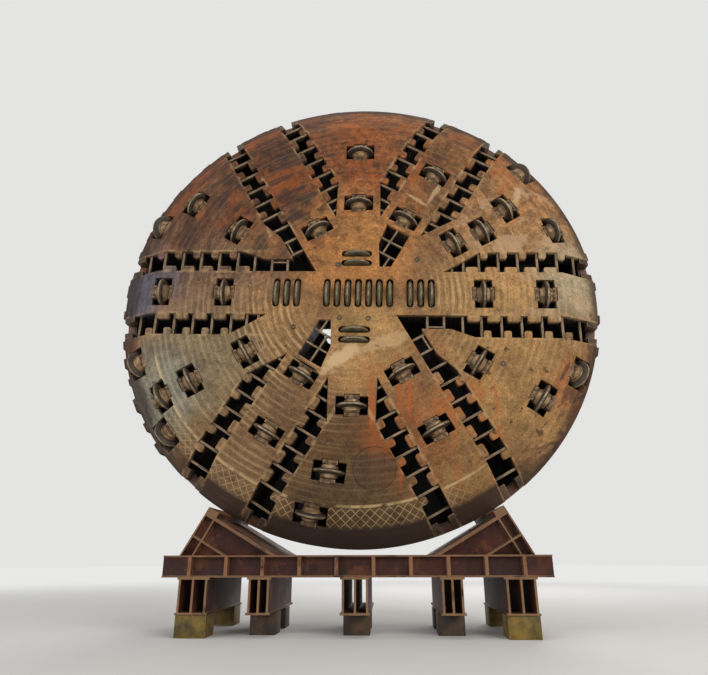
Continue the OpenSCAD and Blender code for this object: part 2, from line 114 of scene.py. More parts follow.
def place_camera():
    """The photograph's viewpoint: a metre above the floor, tilted up and a little to one side."""
    camera = bpy.data.cameras.new("camera")
    camera.sensor_width = 36
    camera.lens = LENS
    camera.clip_end = 400
    view = bpy.data.objects.new("camera", camera)
    view.matrix_world = (
        Matrix.Translation(CAMERA_PLACE)
        @ Matrix.Rotation(math.radians(CAMERA_TURN), 4, "Z")
        @ Matrix.Rotation(math.radians(CAMERA_TILT), 4, "X")
        @ Matrix.Rotation(math.radians(CAMERA_ROLL), 4, "Z")
    )
    bpy.context.scene.collection.objects.link(view)
    bpy.context.scene.camera = view


def add_lamp(name, place, target, size, power, colour):
    """A soft rectangular lamp that points at the target."""
    lamp = bpy.data.lights.new(name, "AREA")
    lamp.shape = "RECTANGLE"
    lamp.size, lamp.size_y = size
    lamp.energy = power
    lamp.color = colour
    holder = bpy.data.objects.new(name, lamp)
    holder.location = place
    holder.rotation_euler = (Vector(target) - Vector(place)).to_track_quat("-Z", "Y").to_euler()
    bpy.context.scene.collection.objects.link(holder)


def light_the_scene():
    """Plain studio light, from the front on both sides, from above and from behind."""
    middle = (0, 0, 4)
    add_lamp("key", (9, -13, 7), middle, (8, 6), 1120, (1.0, 0.96, 0.90))
    add_lamp("fill", (-10, -12, 5), middle, (9, 6), 740, (0.95, 0.97, 1.0))
    add_lamp("top", (0, -3, 17), middle, (10, 8), 360, (0.97, 0.98, 1.0))
    add_lamp("back", (4, 14, 9), middle, (10, 8), 1100, (1.0, 0.98, 0.96))


# Node helpers


class Graph:
    """Adds nodes to one node tree. An input may be a value or another node's output."""

    def __init__(self, tree):
        self.tree = tree

    def put(self, socket, value):
        if isinstance(value, bpy.types.NodeSocket):
            self.tree.links.new(value, socket)
        else:
            socket.default_value = value

    def add(self, kind, **inputs):
        node = self.tree.nodes.new(kind)
        for key, value in inputs.items():
            self.put(node.inputs[key], value)
        return node

    def math(self, operation, *values, clamp=False):
        node = self.tree.nodes.new("ShaderNodeMath")
        node.operation = operation
        node.use_clamp = clamp
        for socket, value in zip(node.inputs, values):
            self.put(socket, value)
        return node.outputs[0]

    def chain(self, operation, values):
        """The operation on the first two values, then on its result and the next value, and so on."""
        result = values[0]
        for value in values[1:]:
            result = self.math(operation, result, value)
        return result

    def plus(self, *values):
        return self.chain("ADD", values)

    def minus(self, *values):
        return self.chain("SUBTRACT", values)

    def times(self, *values):
        return self.chain("MULTIPLY", values)

    def largest(self, *values):
        return self.chain("MAXIMUM", values)

    def vector(self, operation, *values, result=0):
        node = self.tree.nodes.new("ShaderNodeVectorMath")
        node.operation = operation
        for socket, value in zip(node.inputs, values):
            self.put(socket, value)
        return node.outputs[result]

    def smooth(self, value, low, high):
        """0 below low and 1 above high, with a soft step between; low may be the larger."""
        node = self.tree.nodes.new("ShaderNodeMapRange")
        node.interpolation_type = "SMOOTHSTEP"
        self.put(node.inputs["Value"], value)
        if isinstance(low, bpy.types.NodeSocket) or isinstance(high, bpy.types.NodeSocket) or low <= high:
            self.put(node.inputs["From Min"], low)
            self.put(node.inputs["From Max"], high)
        else:
            self.put(node.inputs["From Min"], high)
            self.put(node.inputs["From Max"], low)
            node.inputs["To Min"].default_value = 1
            node.inputs["To Max"].default_value = 0
        return node.outputs[0]

    def noise(self, vector, scale, detail=4.0, roughness=0.55, distortion=0.0, colour=False):
        node = self.add(
            "ShaderNodeTexNoise",
            Vector=vector, Scale=scale, Detail=detail, Roughness=roughness, Distortion=distortion,
        )
        return node.outputs["Color" if colour else "Fac"]

    def mix(self, factor, first, second, blend="MIX"):
        node = self.tree.nodes.new("ShaderNodeMix")
        node.data_type = "RGBA"
        node.blend_type = blend
        node.clamp_factor = True
        self.put(node.inputs["Factor"], factor)
        self.put(node.inputs[6], first)
        self.put(node.inputs[7], second)
        return node.outputs[2]

    def xyz(self, x, y, z):
        return self.add("ShaderNodeCombineXYZ", X=x, Y=y, Z=z).outputs[0]

    def split(self, vector):
        node = self.add("ShaderNodeSeparateXYZ", Vector=vector)
        return node.outputs[0], node.outputs[1], node.outputs[2]

    def bump(self, height, distance, strength):
        return self.add("ShaderNodeBump", Height=height, Distance=distance, Strength=strength).outputs[0]


def make_group(name, inputs, outputs, fill):
    """A shared node group. inputs are (name, kind, default), outputs are (name, kind)."""
    tree = bpy.data.node_groups.new(name, "ShaderNodeTree")
    kinds = {"value": "NodeSocketFloat", "vector": "NodeSocketVector", "colour": "NodeSocketColor"}
    for label, kind, default in inputs:
        socket = tree.interface.new_socket(label, in_out="INPUT", socket_type=kinds[kind])
        if default is not None:
            socket.default_value = default
    for label, kind in outputs:
        tree.interface.new_socket(label, in_out="OUTPUT", socket_type=kinds[kind])
    source = tree.nodes.new("NodeGroupInput").outputs
    result = tree.nodes.new("NodeGroupOutput").inputs
    graph = Graph(tree)
    for label, value in fill(graph, source).items():
        graph.put(result[label], value)
    return tree


def use_group(graph, name, **inputs):
    """One of the shared node groups, with this material's values. Returns its outputs."""
    node = graph.tree.nodes.new("ShaderNodeGroup")
    node.node_tree = GROUPS[name]
    for key, value in inputs.items():
        graph.put(node.inputs[key], value)
    return node.outputs


def shifted(g, place, warp, reach):
    """Points moved by a colour noise, by up to half of reach each way, so that borders turn ragged."""
    lean = g.vector("MULTIPLY", g.vector("SUBTRACT", warp, (0.5, 0.5, 0.5)), reach)
    return g.vector("ADD", place, lean)


def fill_polar(g, source):
    """Where a point lies on the head: from its axis, round it, and along and across the nearest arm."""
    x, y, z = g.split(source["Point"])
    up = g.minus(z, AXIS_Z)
    turn_cos, turn_sin = math.cos(HEAD_TURN), math.sin(HEAD_TURN)
    right = g.plus(g.times(x, turn_cos), g.times(up, turn_sin))
    high = g.minus(g.times(up, turn_cos), g.times(x, turn_sin))
    flat = g.xyz(right, high, 0)
    radius = g.vector("LENGTH", flat, result=1)
    angle = g.math("ARCTAN2", high, right)
    arms = g.math("DIVIDE", angle, math.radians(60))
    off = g.times(g.minus(arms, g.math("ROUND", arms)), math.radians(60))
    along = g.times(radius, g.math("COSINE", off))
    across = g.math("ABSOLUTE", g.times(radius, g.math("SINE", off)))
    cone = g.largest(g.minus(radius, FACE_R), 0)
    cone = g.times(cone, CONE_DROP / (HEAD_R - FACE_R))
    behind = g.minus(y, FACE_Y, cone)
    return {"Radius": radius, "Angle": angle, "Along": along, "Across": across, "Behind": behind,
            "Flat": flat, "Round": g.vector("NORMALIZE", flat)}


def round_vector(g, source, across, along, seed):
    """Noise coordinates that follow the arcs: steps a metre across them, and steps round them."""
    x, y, _ = g.split(source["Round"])
    return g.xyz(g.times(x, along), g.times(y, along), g.plus(g.times(source["Radius"], across), seed))


def fill_scour(g, source):
    """Arcs about the head's axis: evenly spaced scores that come and go, and finer ones between them."""
    broad = g.noise(round_vector(g, source, 2.6, 2.6, 3.1), 1.0, 3, 0.6)
    wander = g.noise(round_vector(g, source, 1.8, 1.2, 23.5), 1.0, 2, 0.5)
    turns = g.plus(g.times(source["Radius"], 9.5), g.times(wander, 1.6))
    wave = g.times(g.math("ABSOLUTE", g.minus(g.math("FRACT", turns), 0.5)), 2.0)
    fine = g.noise(round_vector(g, source, 34, 2.2, 17.7), 1.0, 4, 0.66)
    comes = g.smooth(g.noise(round_vector(g, source, 11, 3.4, 51.0), 1.0, 2), 0.34, 0.54)
    patch = g.smooth(broad, 0.32, 0.5)
    even = g.times(g.smooth(wave, 0.5, 0.95), comes)
    light = g.times(g.largest(even, g.smooth(fine, 0.54, 0.68)), patch)
    dark = g.times(g.largest(g.smooth(wave, 0.4, 0.1), g.smooth(fine, 0.46, 0.34)), patch)
    return {"Light": light, "Dark": dark, "Height": g.plus(g.times(wave, 0.5), fine)}


def fill_smudge(g, source):
    """Dark strokes with ragged edges that run round the head."""
    value = g.noise(round_vector(g, source, 4.2, 6.0, 9.3), 1.0, 6, 0.62, 0.6)
    return {"Mask": g.smooth(value, 0.52, 0.56)}


def fill_cloud(g, source):
    """Patches with ragged edges: 1 inside them and 0 outside."""
    warp = g.noise(source["Point"], g.times(source["Scale"], 2.3), 3, 0.6, colour=True)
    place = shifted(g, source["Point"], warp, (0.25, 0.25, 0.25))
    value = g.noise(place, source["Scale"], 6, 0.62)
    high = g.plus(source["Level"], source["Soft"])
    return {"Mask": g.smooth(value, source["Level"], high)}


def fill_hatch(g, source):
    """Crossed beads of hard facing weld, as diamonds on the gauge cone."""
    u = g.times(source["Angle"], 3.7)
    v = g.times(source["Radius"], 1.13)
    pitch = source["Pitch"]
    wobble = g.times(g.minus(g.noise(g.xyz(u, v, 0), 9, 2), 0.5), 0.02)
    lines = []
    for side in ("ADD", "SUBTRACT"):
        steps = g.math("DIVIDE", g.plus(g.math(side, u, v), wobble), pitch)
        off = g.math("ABSOLUTE", g.minus(g.math("FRACT", steps), 0.5))
        lines.append(g.times(off, pitch))
    nearest = g.math("MINIMUM", *lines)
    return {"Bead": g.smooth(nearest, 0.015, 0.005)}


def fill_drips(g, source):
    """Streaks that run down with the rain."""
    x, y, z = g.split(source["Point"])
    stretched = g.xyz(g.times(x, 7), g.times(y, 7), g.times(z, 0.5))
    long = g.noise(stretched, 1.0, 4, 0.6)
    breaks = g.noise(source["Point"], 1.6, 3)
    return {"Mask": g.times(g.smooth(long, 0.5, 0.68), g.smooth(breaks, 0.35, 0.6))}


def fill_pits(g, source):
    """Chips and dark spots of many sizes: 1 in a spot."""
    warp = g.noise(source["Point"], g.times(source["Scale"], 2.5), 3, 0.7, colour=True)
    spread = g.math("DIVIDE", 0.9, source["Scale"])
    place = shifted(g, source["Point"], warp, g.xyz(spread, spread, spread))
    cells = g.add("ShaderNodeTexVoronoi", Vector=place, Scale=source["Scale"])
    chance, size, _ = g.split(cells.outputs["Color"])
    reach = g.times(size, 0.4)
    spot = g.smooth(g.minus(reach, cells.outputs["Distance"]), 0.0, 0.06)
    return {"Mask": g.times(spot, g.smooth(chance, 0.45, 0.5))}


def make_groups():
    point = ("Point", "vector", None)
    on_arcs = [("Radius", "value", 0.0), ("Round", "vector", None)]
    cloud = [point, ("Scale", "value", 1.0), ("Level", "value", 0.5), ("Soft", "value", 0.05)]
    hatch = [("Radius", "value", 0.0), ("Angle", "value", 0.0), ("Pitch", "value", 0.15)]
    return {
        "polar": make_group(
            "place_on_head", [point],
            [("Radius", "value"), ("Angle", "value"), ("Along", "value"), ("Across", "value"),
             ("Behind", "value"), ("Flat", "vector"), ("Round", "vector")],
            fill_polar),
        "scour": make_group(
            "scoured_arcs", on_arcs,
            [("Light", "value"), ("Dark", "value"), ("Height", "value")], fill_scour),
        "smudge": make_group("smudges", on_arcs, [("Mask", "value")], fill_smudge),
        "cloud": make_group("ragged_patches", cloud, [("Mask", "value")], fill_cloud),
        "hatch": make_group("crossed_beads", hatch, [("Bead", "value")], fill_hatch),
        "drips": make_group("drips", [point], [("Mask", "value")], fill_drips),
        "pits": make_group("pits", [point, ("Scale", "value", 10.0)], [("Mask", "value")], fill_pits),
    }


GROUPS = make_groups()


def new_material(name):
    """An empty material with a shader: returns the material, its graph, its shader and object coordinates."""
    material = bpy.data.materials.new(name)
    material.use_nodes = True
    graph = Graph(material.node_tree)
    shader = material.node_tree.nodes["Principled BSDF"]
    point = graph.add("ShaderNodeTexCoord").outputs["Object"]
    return material, graph, shader, point


def finish_material(material, graph, shader, colour, roughness, normal, metallic=0.0):
    graph.put(shader.inputs["Base Color"], colour)
    graph.put(shader.inputs["Roughness"], roughness)
    graph.put(shader.inputs["Metallic"], metallic)
    graph.put(shader.inputs["Normal"], normal)
    return material


# Tones of the face by place, partly mud and rust and partly painted light and shade (a darker top, a lighter
# warm middle below the axis and a bluish grey left end): x and y from the axis, reach, colour
ZONES = [
    (-1.7, 2.7, 2.6, (92, 57, 34)),
    (0.2, 2.7, 1.6, (128, 74, 38)),
    (-2.9, 1.5, 1.4, (94, 64, 46)),
    (-1.5, 2.6, 0.8, (80, 50, 31)),
    (1.7, 2.8, 1.5, (116, 80, 48)),
    (0.0, 0.9, 1.4, (166, 114, 64)),
    (2.7, 1.3, 1.7, (156, 116, 76)),
    (2.3, 0.0, 1.3, (158, 122, 78)),
    (3.8, 0.3, 1.1, (158, 142, 114)),
    (-2.4, 0.0, 1.3, (124, 96, 72)),
    (-1.4, -0.6, 0.9, (150, 112, 72)),
    (-3.8, 0.2, 1.1, (88, 84, 94)),
    (-2.4, -1.4, 1.5, (126, 108, 80)),
    (-3.3, -1.8, 1.3, (124, 121, 108)),
    (-3.6, -2.3, 0.5, (146, 84, 46)),
    (-3.85, -1.1, 0.45, (134, 78, 46)),
    (-1.3, -2.4, 1.2, (114, 86, 58)),
    (0.0, -2.6, 1.4, (90, 64, 38)),
    (0.0, -3.8, 1.7, (84, 62, 38)),
    (1.3, -2.3, 1.1, (128, 82, 46)),
    (2.5, -1.5, 1.5, (150, 114, 70)),
    (3.5, -1.4, 0.7, (148, 98, 58)),
    (2.0, -3.0, 1.0, (130, 96, 58)),
    (0.2, -0.9, 1.1, (158, 122, 76)),
]


# Places scraped pale: x and y from the axis, angle, half length, half width, strength
SCRAPES = [
    (-0.2, -1.13, 40, 0.40, 0.14, 0.8),
    (0.5, -0.86, 18, 0.60, 0.12, 0.4),
    (1.36, 1.98, 60, 0.34, 0.045, 0.55),
    (1.02, 1.80, -38, 0.26, 0.035, 0.5),
    (2.72, 1.80, 75, 0.30, 0.060, 0.4),
]

# Dark smears, in the same columns
SMEARS = [
    (-1.28, 2.78, 26, 0.30, 0.060, 0.7),
    (-1.36, 2.50, 29, 0.26, 0.050, 0.7),
    (-1.42, 2.22, 30, 0.34, 0.075, 0.75),
    (-1.12, 2.02, 29, 0.24, 0.050, 0.7),
    (-0.92, 1.86, 26, 0.28, 0.075, 0.75),
    (-1.22, 1.74, 34, 0.22, 0.045, 0.65),
    (-1.12, 1.44, 36, 0.18, 0.090, 0.6),
    (-2.20, 2.10, 44, 0.32, 0.065, 0.65),
    (-2.62, 1.62, 56, 0.34, 0.080, 0.65),
    (-2.16, 1.30, 58, 0.24, 0.070, 0.6),
    (-1.86, 1.62, 50, 0.22, 0.055, 0.65),
    (-2.90, 1.16, 68, 0.26, 0.070, 0.55),
]


def mix_zones(g, flat):
    """Blends from one tone to the next across the face, over soft uneven borders."""
    place = shifted(g, flat, g.noise(flat, 1.1, 4, 0.6, colour=True), (1.3, 1.3, 0.0))
    colour = tone(128, 94, 62)
    for x, y, reach, rgb in ZONES:
        away = g.vector("DISTANCE", place, (x, y, 0.0), result=1)
        colour = g.mix(g.smooth(away, reach, reach * 0.35), colour, tone(*rgb))
    return colour


def near_spot(g, flat, x, y, reach):
    """1 about a place on the face, and 0 beyond reach from it."""
    away = g.vector("DISTANCE", flat, (x, y, 0.0), result=1)
    return g.smooth(away, reach, reach * 0.5)


def stroke(g, flat, x, y, angle, half_long, half_wide):
    """A soft mark with its middle at x and y, longer one way than the other."""
    ragged = 3 * half_wide
    place = shifted(g, flat, g.noise(flat, 4.5, 5, 0.7, colour=True), (ragged, ragged, 0.0))
    right, high, _ = g.split(g.vector("SUBTRACT", place, (x, y, 0.0)))
    cos, sin = math.cos(math.radians(angle)), math.sin(math.radians(angle))
    along = g.plus(g.times(right, cos), g.times(high, sin))
    across = g.minus(g.times(high, cos), g.times(right, sin))
    scaled = g.xyz(g.math("DIVIDE", along, half_long), g.math("DIVIDE", across, half_wide), 0)
    away = g.vector("LENGTH", scaled, result=1)
    return g.smooth(away, 1.15, 0.6)


def mark(g, flat, rows, colour, paint):
    """Paints the strokes of a table over a colour."""
    for x, y, angle, half_long, half_wide, strength in rows:
        drawn = stroke(g, flat, x, y, angle, half_long, half_wide)
        colour = g.mix(g.times(drawn, strength), colour, paint)
    return colour


def face_steel(name, wear):
    """The face: mud, rust and scour by place. With wear, it is the pale metal on its worn edges."""
    material, g, shader, point = new_material(name)
    place = use_group(g, "polar", Point=point)
    flat = place["Flat"]
    radius = place["Radius"]
    behind = place["Behind"]
    high = g.split(flat)[1]
    scour = use_group(g, "scour", Radius=radius, Round=place["Round"])
    # The tones by place hold painted light and shade as well as mud and rust
    colour = mix_zones(g, flat)

    upper = g.smooth(high, -0.2, 2.2)
    mottle = g.noise(point, 2.6, 7, 0.66)
    colour = g.mix(0.8, colour, mottle, "OVERLAY")
    blotch = g.noise(point, 8, 7, 0.74, 0.5)
    blotched = g.plus(0.3, g.times(upper, 0.3))
    colour = g.mix(blotched, colour, g.smooth(blotch, 0.26, 0.74), "OVERLAY")
    grain = g.noise(point, 38, 4, 0.7)
    colour = g.mix(0.4, colour, g.smooth(grain, 0.25, 0.75), "OVERLAY")

    # Orange rust, strongest in the upper part and on the lower right arm
    lower_right = near_spot(g, flat, 1.2, -2.0, 1.5)
    rust_area = g.largest(upper, lower_right)
    rust = use_group(g, "cloud", Point=point, Scale=1.3, Level=0.47, Soft=0.12)["Mask"]
    colour = g.mix(g.times(rust, rust_area, 0.55), colour, tone(150, 78, 30))

    # Dark brown strokes, mainly in the upper left, and gouges on the cone at the lower right
    upper_left = near_spot(g, flat, -2.2, 2.2, 3.0)
    smudge_area = g.largest(upper_left, g.times(upper, 0.6))
    cone = g.smooth(radius, FACE_R - 0.1, FACE_R + 0.1)
    gouged = g.times(near_spot(g, flat, 3.4, -1.7, 1.5), cone)
    smudge_area = g.largest(smudge_area, gouged)
    smudge = use_group(g, "smudge", Radius=radius, Round=place["Round"])["Mask"]
    smudge = g.times(smudge, smudge_area, 0.66)
    colour = g.mix(smudge, colour, tone(58, 42, 36))
    colour = mark(g, flat, SMEARS, colour, tone(52, 39, 34))

    # Pale flakes on the right, where the mud has come off
    flakes = use_group(g, "cloud", Point=point, Scale=2.4, Level=0.53, Soft=0.05)["Mask"]
    flake_area = g.largest(near_spot(g, flat, 2.9, 1.5, 1.5), near_spot(g, flat, 3.6, 0.1, 1.2))
    flakes = g.times(flakes, flake_area, 0.6)
    colour = g.mix(flakes, colour, tone(184, 152, 118))

    # Scoured arcs, strongest on the neck at the lower left and right of the middle
    left = g.times(near_spot(g, flat, -1.9, -1.6, 2.4), 0.46)
    neck = near_spot(g, flat, -1.35, -0.85, 0.95)
    right = g.times(near_spot(g, flat, 2.3, -0.3, 1.7), 0.36)
    beside_middle = g.times(near_spot(g, flat, 1.55, 0.0, 0.5), 0.8)
    arc_area = g.largest(left, neck, right, beside_middle, 0.1)
    arc_area = g.times(arc_area, g.smooth(radius, 0.7, 1.2))
    colour = g.mix(g.times(scour["Light"], arc_area, 0.62), colour, tone(196, 166, 120))
    colour = g.mix(g.times(scour["Dark"], arc_area, 0.5), colour, tone(80, 58, 38))

    drips = use_group(g, "drips", Point=point)["Mask"]
    drip_area = g.largest(lower_right, g.times(upper, 0.3))
    drips = g.times(drips, drip_area, 0.85)
    colour = g.mix(drips, colour, tone(172, 84, 36))

    colour = mark(g, flat, SCRAPES, colour, tone(206, 174, 132))

    # Crossed beads low on the cone, worn off in places, and the worn ridge where the cone begins
    skin = g.smooth(behind, 0.03, 0.01)
    on_cone = g.times(g.smooth(radius, FACE_R + 0.02, FACE_R + 0.05), skin)
    bead = use_group(g, "hatch", Radius=radius, Angle=place["Angle"], Pitch=0.15)["Bead"]
    low = g.times(g.smooth(high, -0.9, -2.3), g.smooth(g.split(flat)[0], 2.4, 1.4))
    low = g.largest(low, near_spot(g, flat, -3.1, -2.0, 1.5))
    worn = g.smooth(g.noise(point, 1.3, 4), 0.32, 0.5)
    beads = g.times(bead, on_cone, worn, low)
    beads = g.times(beads, g.smooth(radius, 3.78, 3.7))
    colour = g.mix(g.times(beads, 0.78), colour, tone(172, 150, 112))
    ridge = g.smooth(g.math("ABSOLUTE", g.minus(radius, FACE_R)), 0.03, 0.008)
    ridge = g.times(ridge, skin, g.smooth(mottle, 0.38, 0.55))
    ridge = g.times(ridge, g.plus(g.times(low, 0.6), 0.12))
    colour = g.mix(ridge, colour, tone(200, 172, 124))

    # Dark dirt and painted shade round the rim, and both over the whole lower edge of the cone, which faces
    # down
    rim_noise = g.noise(point, 2.2, 5, 0.65)
    rim_reach = g.plus(0.34, g.times(near_spot(g, flat, -3.8, -0.6, 2.0), 0.26))
    rim_from = g.minus(3.98, g.times(rim_noise, rim_reach))
    grime_and_shade = g.times(g.smooth(g.minus(radius, rim_from), 0.0, 0.14), 0.75)
    bottom_grime_and_shade = g.times(g.smooth(radius, 3.66, 3.76), g.smooth(high, -2.4, -3.1))
    grime_and_shade = g.largest(grime_and_shade, g.times(bottom_grime_and_shade, 0.9))
    round_cover = near_spot(g, flat, *ROUND_COVER, 0.4)
    grime_and_shade = g.largest(grime_and_shade, g.times(round_cover, 0.3))
    colour = g.mix(grime_and_shade, colour, tone(48, 36, 31))

    # Pale scraped metal along the muck slots
    arm_edge = g.math("ABSOLUTE", g.minus(place["Across"], ARM_HALF))
    panel_edge = g.math("ABSOLUTE", g.minus(place["Across"], SLOT_FAR))
    edge = g.smooth(g.math("MINIMUM", arm_edge, panel_edge), 0.045, 0.012)
    edge = g.times(edge, g.smooth(place["Along"], SLOT_START, SLOT_START + 0.1))
    edge = g.times(edge, g.smooth(g.noise(point, 5, 3), 0.44, 0.62))
    colour = g.mix(g.times(edge, 0.5), colour, tone(180, 148, 106))

    pits = use_group(g, "pits", Point=point, Scale=4.6)["Mask"]
    spotted = g.plus(0.42, g.times(near_spot(g, flat, 2.3, -1.7, 1.3), 0.4))
    colour = g.mix(g.times(pits, spotted), colour, tone(62, 42, 28))
    if wear > 0:
        bare = g.times(g.smooth(g.noise(point, 5, 4, 0.6), 0.36, 0.62), wear)
        colour = g.mix(bare, colour, tone(214, 184, 140))

    # Painted shade inside the slots and pockets: nearly black from just behind the face back to the rear
    # plate
    plate_behind = REAR_PLATE_MIDDLE - FACE_Y
    deep = g.times(g.smooth(behind, 0.008, 0.12), g.smooth(radius, HOOP_IN + 0.08, HOOP_IN))
    deep = g.times(deep, g.smooth(behind, plate_behind, plate_behind - 0.02))
    colour = g.mix(g.times(deep, 0.95), colour, tone(22, 21, 26))

    rough = g.minus(0.8, g.times(scour["Light"], 0.2))
    rough = g.plus(rough, g.times(g.minus(grain, 0.5), 0.25))
    height = g.plus(g.times(grain, 0.25), g.times(mottle, 0.5))
    height = g.plus(height, g.times(scour["Height"], arc_area, 0.5))
    height = g.minus(height, g.times(pits, 0.5))
    height = g.plus(height, beads)
    normal = g.bump(height, 0.008, 0.8)
    shader.inputs["Specular IOR Level"].default_value = 0.25
    return finish_material(material, g, shader, colour, rough, normal)


def hull_steel():
    """The hoop, rear plate and ribs: brown red primer, rusted through in patches, with painted shade inside,
    nearly black
    """
    material, g, shader, point = new_material("hull_steel")
    place = use_group(g, "polar", Point=point)
    mottle = g.noise(point, 2.1, 7, 0.62)
    colour = g.mix(g.smooth(mottle, 0.35, 0.7), tone(72, 48, 40), tone(112, 74, 54))
    rust = use_group(g, "cloud", Point=point, Scale=1.3, Level=0.54, Soft=0.08)["Mask"]
    colour = g.mix(g.times(rust, 0.8), colour, tone(138, 78, 42))
    drips = use_group(g, "drips", Point=point)["Mask"]
    colour = g.mix(g.times(drips, 0.6), colour, tone(108, 60, 36))
    dust = g.smooth(g.noise(point, 6, 5, 0.7), 0.55, 0.75)
    colour = g.mix(g.times(dust, 0.5), colour, tone(150, 128, 102))
    # Painted shade: nearly black inside the hoop, in front of the rear plate
    before_plate = g.smooth(g.split(point)[1], REAR_PLATE_MIDDLE + 0.01, REAR_PLATE_MIDDLE - 0.01)
    inside = g.times(before_plate, g.smooth(place["Radius"], HOOP_IN + 0.05, HOOP_IN + 0.01))
    colour = g.mix(g.times(inside, 0.96), colour, tone(17, 16, 18))
    grain = g.noise(point, 45, 4, 0.7)
    height = g.plus(g.times(grain, 0.4), g.times(mottle, 0.5))
    rough = g.plus(0.6, g.times(rust, 0.25))
    return finish_material(material, g, shader, colour, rough, g.bump(height, 0.004, 0.7))


def cradle_paint():
    """Red brown paint under dust, with painted shade on the recessed webs that face the ends; the cross
    beams' stiffeners are paler.
    """
    material, g, shader, point = new_material("cradle_paint")
    x, y, z = g.split(point)
    mottle = g.noise(point, 2.8, 7, 0.65)
    colour = g.mix(g.smooth(mottle, 0.34, 0.68), tone(42, 19, 14), tone(80, 35, 22))
    rust = use_group(g, "cloud", Point=point, Scale=2.1, Level=0.54, Soft=0.08)["Mask"]
    colour = g.mix(g.times(rust, 0.7), colour, tone(112, 64, 38))
    step = g.math("FRACT", g.math("DIVIDE", x, STIFFENER_PITCH))
    near_plate = g.smooth(g.math("ABSOLUTE", g.minus(step, 0.5)), 0.062, 0.052)
    above_foot = g.smooth(z, PALER_FROM - 0.005, PALER_FROM + 0.005)
    in_beam = g.times(above_foot, g.smooth(z, PALER_TO + 0.005, PALER_TO - 0.005))
    paler_stiffeners = g.times(near_plate, in_beam, g.smooth(mottle, 0.3, 0.5))
    colour = g.mix(g.times(paler_stiffeners, 0.7), colour, tone(128, 74, 44))
    drips = use_group(g, "drips", Point=point)["Mask"]
    colour = g.mix(g.times(drips, 0.5), colour, tone(104, 56, 30))
    _, normal_y, normal_z = g.split(g.add("ShaderNodeNewGeometry").outputs["Normal"])
    facing_ends = g.smooth(g.math("ABSOLUTE", normal_y), 0.6, 0.8)

    # Measured from the cradle's middle, which puts its ends at 1.0
    depth = g.math("ABSOLUTE", y)
    # Painted shade on the recessed webs that face the ends, darker below the cross beams' foot
    web_shade = g.times(g.smooth(depth, 0.985, 0.965), facing_ends)
    below = g.smooth(z, CROSS_BEAM_FOOT + 0.01, CROSS_BEAM_FOOT)
    web_shade_strength = g.plus(0.3, g.times(below, 0.5))
    colour = g.mix(g.times(web_shade, web_shade_strength), colour, tone(27, 17, 15))
    muddy = g.times(below, g.smooth(depth, 0.9, 0.97), facing_ends)
    colour = g.mix(g.times(muddy, g.smooth(mottle, 0.3, 0.5)), colour, tone(112, 86, 62))
    plate_ends = g.times(g.smooth(depth, 0.99, 0.998), facing_ends)
    plate_ends = g.times(plate_ends, g.smooth(mottle, 0.32, 0.5))
    colour = g.mix(g.times(plate_ends, 0.6), colour, tone(136, 104, 74))
    facing_up = g.smooth(normal_z, 0.5, 0.9)
    dust = g.times(facing_up, g.smooth(g.noise(point, 4, 5, 0.65), 0.35, 0.6))
    colour = g.mix(g.times(dust, 0.6), colour, tone(128, 104, 82))
    grain = g.noise(point, 55, 4, 0.7)
    colour = g.mix(0.4, colour, grain, "OVERLAY")
    height = g.plus(g.times(grain, 0.4), mottle)
    rough = g.plus(0.62, g.times(dust, 0.25))
    shader.inputs["Specular IOR Level"].default_value = 0.25
    return finish_material(material, g, shader, colour, rough, g.bump(height, 0.003, 0.7))


def plain_steel(name, dark, light, patch, roughness, metallic, scale, sunk=None):
    """Steel of two mottled tones with patches of a third, for the smaller parts.

    With sunk, it is painted dark with shade from that far behind the head's face.
    """
    material, g, shader, point = new_material(name)
    mottle = g.noise(point, scale, 6, 0.65)
    colour = g.mix(g.smooth(mottle, 0.34, 0.68), tone(*dark), tone(*light))
    patches = use_group(g, "cloud", Point=point, Scale=scale * 1.4, Level=0.55, Soft=0.08)["Mask"]
    colour = g.mix(g.times(patches, 0.75), colour, tone(*patch))
    grain = g.noise(point, scale * 22, 4, 0.7)
    colour = g.mix(g.times(g.smooth(grain, 0.5, 0.75), 0.35), colour, tone(*light))
    # Painted shade on the parts that lie behind the face
    if sunk is not None:
        behind = use_group(g, "polar", Point=point)["Behind"]
        shade = g.times(g.smooth(behind, sunk, sunk + 0.03), 0.9)
        colour = g.mix(shade, colour, tone(24, 21, 21))
    rough = g.math("ADD", roughness, g.times(g.minus(mottle, 0.5), 0.4), clamp=True)
    height = g.plus(g.times(grain, 0.4), mottle)
    shader.inputs["Specular IOR Level"].default_value = 0.35
    return finish_material(material, g, shader, colour, rough, g.bump(height, 0.003, 0.7), metallic)


